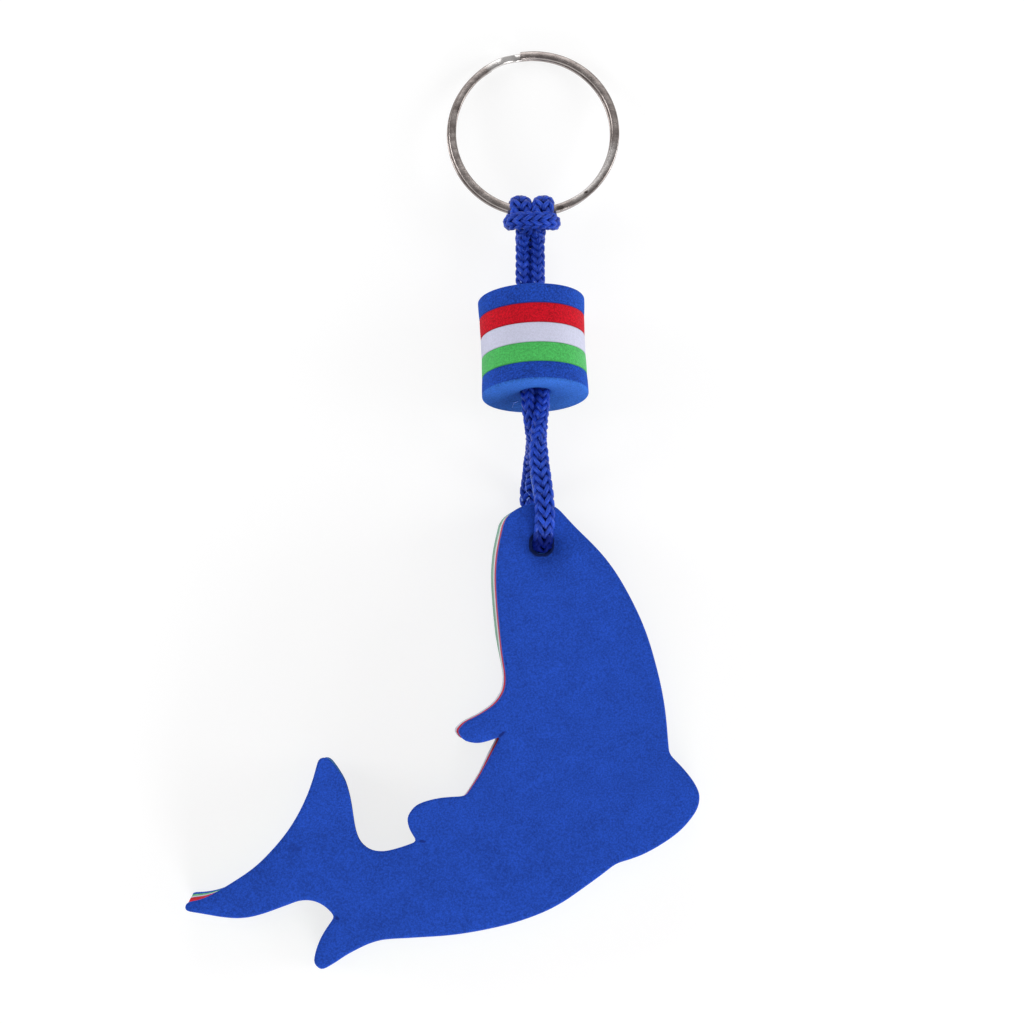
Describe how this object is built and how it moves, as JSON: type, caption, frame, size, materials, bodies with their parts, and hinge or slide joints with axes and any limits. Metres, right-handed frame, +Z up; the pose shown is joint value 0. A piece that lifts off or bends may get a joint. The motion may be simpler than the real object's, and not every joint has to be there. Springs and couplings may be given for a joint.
{
  "type": "floating keychain",
  "caption": "Floating keychain: fish of glued foam sheets on a knitted cord loop, with a small foam float on the cord and a split ring for the keys.",
  "frame": {"origin": "on the resting surface, under the middle of the whole part as it lies", "axes": "+Y from the fish towards the split ring, +Z up out of the fish's front face"},
  "size_m": [0.0886, 0.1596, 0.024],
  "materials": {
    "blue_foam": "matte closed-cell foam with fine dark pores",
    "green_foam": "matte closed-cell foam",
    "white_foam": "matte closed-cell foam",
    "red_foam": "matte closed-cell foam",
    "blue_yarn": "shiny knitted multifilament yarn",
    "nickel": "brushed nickel plate with light scuffs"
  },
  "bodies": {
    "fish": {"fish_back_blue_sheet": "blue_foam", "fish_green_sheet": "green_foam", "fish_white_sheet": "white_foam", "fish_red_sheet": "red_foam", "fish_front_blue_sheet": "blue_foam"},
    "cord": {"cord_loop": "blue_yarn"},
    "float": {"float_back_blue_disc": "blue_foam", "float_green_disc": "green_foam", "float_white_disc": "white_foam", "float_red_disc": "red_foam", "float_front_blue_disc": "blue_foam"},
    "ring": {"split_ring": "nickel"}
  },
  "joints": [
    {"name": "cord_swing", "type": "hinge", "parent": "fish", "child": "cord", "pos_m": [0.01697, -0.00647, 0.01], "axis": [0, 0, 1], "range_deg": [-90, 90]},
    {"name": "float_slide", "type": "slide", "parent": "cord", "child": "float", "axis": [-0.0434, 0.9553, -0.2924], "range_m": [0, 0.006]},
    {"name": "ring_swing", "type": "hinge", "parent": "cord", "child": "ring", "pos_m": [0.01533, 0.0513, 0.00802], "axis": [1, 0, 0], "range_deg": [0, 150]}
  ]
}
